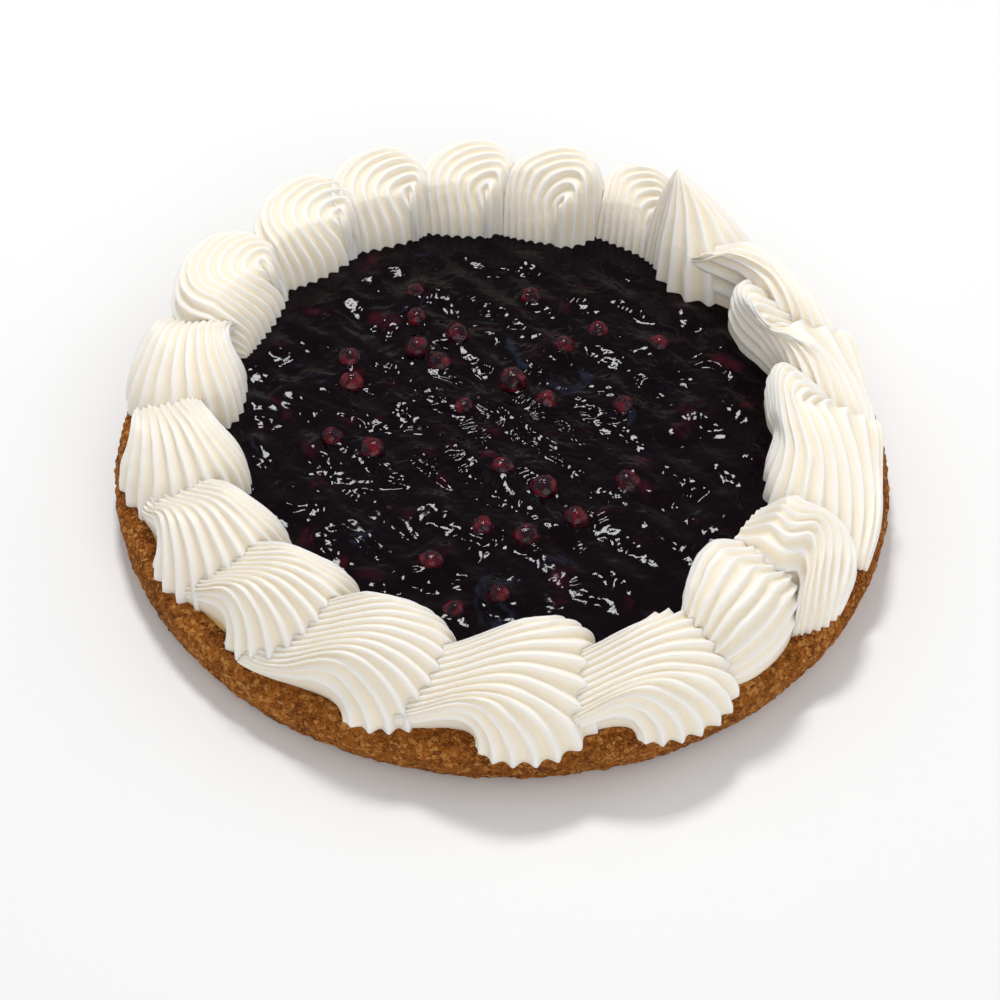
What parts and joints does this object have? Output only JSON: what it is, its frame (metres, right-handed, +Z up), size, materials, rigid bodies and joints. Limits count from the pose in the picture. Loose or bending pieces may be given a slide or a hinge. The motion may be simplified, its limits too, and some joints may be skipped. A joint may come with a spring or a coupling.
{
  "type": "blueberry cheesecake",
  "caption": "Whole round blueberry cheesecake: crumb crust, dark glossy berry gel with half-sunk berries and a ring of overlapping piped cream shells.",
  "frame": {"origin": "centre of the cake's underside", "axes": "+Z up; +X to the right and +Y to the back as in the picture's view"},
  "size_m": [0.2284, 0.2279, 0.0576],
  "materials": {
    "crust": "baked crumb, stands in for biscuit crust",
    "filling": "baked, slightly browned, stands in for cheesecake filling",
    "gel": "wet, very glossy, stands in for berry gel",
    "berry": "wet, glossy, stands in for cooked blueberries",
    "cream": "soft satin, stands in for whipped cream"
  },
  "bodies": {
    "root": {"graham_crust": "crust", "cheesecake_filling": "filling", "blueberry_gel": "gel", "blueberry_01": "berry", "blueberry_02": "berry", "blueberry_03": "berry", "blueberry_04": "berry", "blueberry_05": "berry", "blueberry_06": "berry", "blueberry_07": "berry", "blueberry_08": "berry", "blueberry_09": "berry", "blueberry_10": "berry", "blueberry_11": "berry", "blueberry_12": "berry", "blueberry_13": "berry", "blueberry_14": "berry", "blueberry_15": "berry", "blueberry_16": "berry", "blueberry_17": "berry", "blueberry_18": "berry", "blueberry_19": "berry", "blueberry_20": "berry", "blueberry_21": "berry", "blueberry_22": "berry", "blueberry_23": "berry", "blueberry_24": "berry", "blueberry_25": "berry", "blueberry_26": "berry", "cream_shell_01": "cream", "cream_shell_02": "cream", "cream_shell_03": "cream", "cream_shell_04": "cream", "cream_shell_05": "cream", "cream_shell_06": "cream", "cream_shell_07": "cream", "cream_shell_08": "cream", "cream_shell_09": "cream", "cream_shell_10": "cream", "cream_shell_11": "cream", "cream_shell_12": "cream", "cream_shell_13": "cream", "cream_shell_14": "cream", "cream_shell_15": "cream", "cream_shell_16": "cream", "cream_shell_17": "cream", "cream_shell_18": "cream", "cream_shell_19": "cream"}
  },
  "joints": []
}
